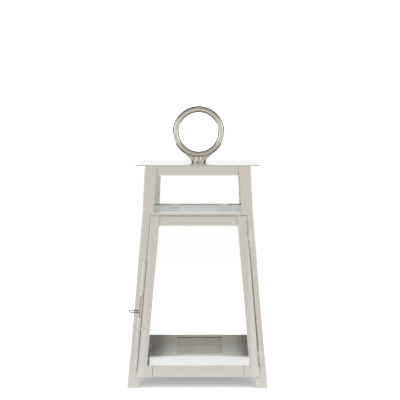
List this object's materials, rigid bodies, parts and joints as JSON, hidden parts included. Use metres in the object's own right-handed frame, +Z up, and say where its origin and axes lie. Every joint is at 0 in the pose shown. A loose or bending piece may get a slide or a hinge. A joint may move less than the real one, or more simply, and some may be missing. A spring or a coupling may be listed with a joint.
{
  "type": "candle lantern",
  "caption": "Tapering candle lantern of polished sheet with glass panes, open vents under a flat top plate, a hinged glazed door with a sliding wire bolt, and a carrying ring.",
  "frame": {"origin": "middle of the footprint, on the ground under the four legs", "axes": "+Z up, the door faces -Y, the hinges are on the +X side and the latch on the -X side"},
  "size_m": [0.2, 0.2017, 0.4026],
  "materials": {
    "clear_glass": "clear float glass with ground edges",
    "floor_sheet": "polished plate with light rub marks",
    "hinge_metal": "plated rolled sheet and pins",
    "latch_metal": "plated tube and wire",
    "polished_leg_sheet": "polished nickel-plated sheet",
    "polished_plate": "polished nickel-plated plate",
    "polished_sheet": "polished nickel-plated sheet",
    "ring_plate": "polished nickel-plated casting",
    "screw_steel": "zinc-plated steel",
    "spring_clip_steel": "plain bent strip, slightly dull"
  },
  "bodies": {
    "frame": {"base_rail_back": "polished_sheet", "base_rail_left": "polished_sheet", "base_rail_right": "polished_sheet", "door_sill": "polished_sheet", "floor_plate": "floor_sheet", "glass_back": "clear_glass", "glass_clip_back": "spring_clip_steel", "glass_clip_left": "spring_clip_steel", "glass_clip_right": "spring_clip_steel", "glass_left": "clear_glass", "glass_right": "clear_glass", "latch_tube_lower": "latch_metal", "latch_tube_middle": "latch_metal", "latch_tube_upper": "latch_metal", "leg_back_left": "polished_leg_sheet", "leg_back_right": "polished_leg_sheet", "leg_front_left": "polished_leg_sheet", "leg_front_right": "polished_leg_sheet", "lower_hinge_frame_leaf": "hinge_metal", "lower_hinge_pin": "hinge_metal", "mid_rail_back": "polished_sheet", "mid_rail_front": "polished_sheet", "mid_rail_left": "polished_sheet", "mid_rail_right": "polished_sheet", "neck_washer": "screw_steel", "ring": "ring_plate", "ring_neck": "ring_plate", "ring_screw": "screw_steel", "screw_washer": "screw_steel", "top_plate": "polished_plate", "top_rail_back": "polished_sheet", "top_rail_front": "polished_sheet", "top_rail_left": "polished_sheet", "top_rail_right": "polished_sheet", "upper_hinge_frame_leaf": "hinge_metal", "upper_hinge_pin": "hinge_metal"},
    "door": {"door_stile_left": "polished_sheet", "door_stile_right": "polished_sheet", "door_rail_top": "polished_sheet", "door_rail_bottom": "polished_sheet", "door_glass": "clear_glass", "door_clip_bottom": "spring_clip_steel", "door_clip_top": "spring_clip_steel", "upper_hinge_door_leaf": "hinge_metal", "lower_hinge_door_leaf": "hinge_metal", "latch_keeper": "latch_metal"},
    "bolt": {"latch_bolt": "latch_metal"}
  },
  "joints": [
    {"name": "door_swing", "type": "hinge", "parent": "frame", "child": "door", "pos_m": [0.09005, -0.09834, 0.04819], "axis": [-0.0817, 0.0817, 0.9933], "range_deg": [0, 110]},
    {"name": "latch_slide", "type": "slide", "parent": "frame", "child": "bolt", "axis": [0.0817, 0.0817, 0.9933], "range_m": [-0.0048, 0.013]}
  ]
}
